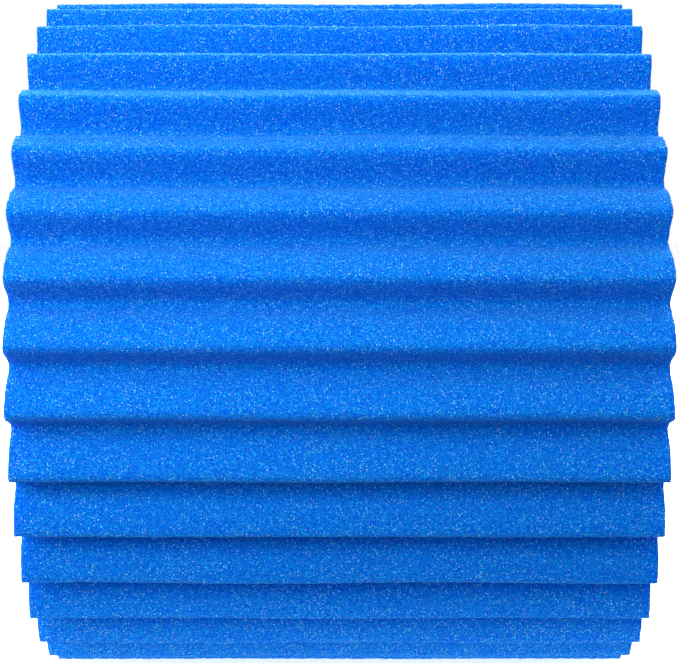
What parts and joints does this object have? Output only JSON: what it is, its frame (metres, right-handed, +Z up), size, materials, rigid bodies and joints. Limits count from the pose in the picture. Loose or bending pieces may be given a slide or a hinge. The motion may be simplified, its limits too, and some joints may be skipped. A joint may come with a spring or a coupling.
{
  "type": "sponge filter",
  "caption": "Ribbed cylindrical filter sponge on a slotted support core, with a pipe grommet at one end and a removable sealed plug at the other.",
  "frame": {"origin": "on the cylinder's axis at mid-length, which is the centre of the bounding box", "axes": "+X along the cylinder's axis towards the pipe end, +Z up as it lies on its side on two ribs, +Y away from the viewer, towards the glued seam"},
  "size_m": [0.186, 0.2192, 0.2192],
  "materials": {
    "filter_foam": "matte",
    "seam_adhesive": "satin",
    "core_plastic": "satin",
    "plug_plastic": "satin",
    "seal_rubber": "matte"
  },
  "bodies": {
    "core": {"core_tube": "core_plastic", "outlet_plate": "core_plastic", "outlet_grommet": "seal_rubber", "closed_end_ring": "core_plastic"},
    "sponge": {"sponge_sleeve": "filter_foam", "seam_glue": "seam_adhesive"},
    "plug": {"end_plug": "plug_plastic", "plug_o_ring": "seal_rubber"}
  },
  "joints": [
    {"name": "sponge_slide", "type": "slide", "parent": "core", "child": "sponge", "axis": [1, 0, 0], "range_m": [0, 0.2]},
    {"name": "plug_pull", "type": "slide", "parent": "core", "child": "plug", "axis": [-1, 0, 0], "range_m": [0, 0.04]}
  ]
}
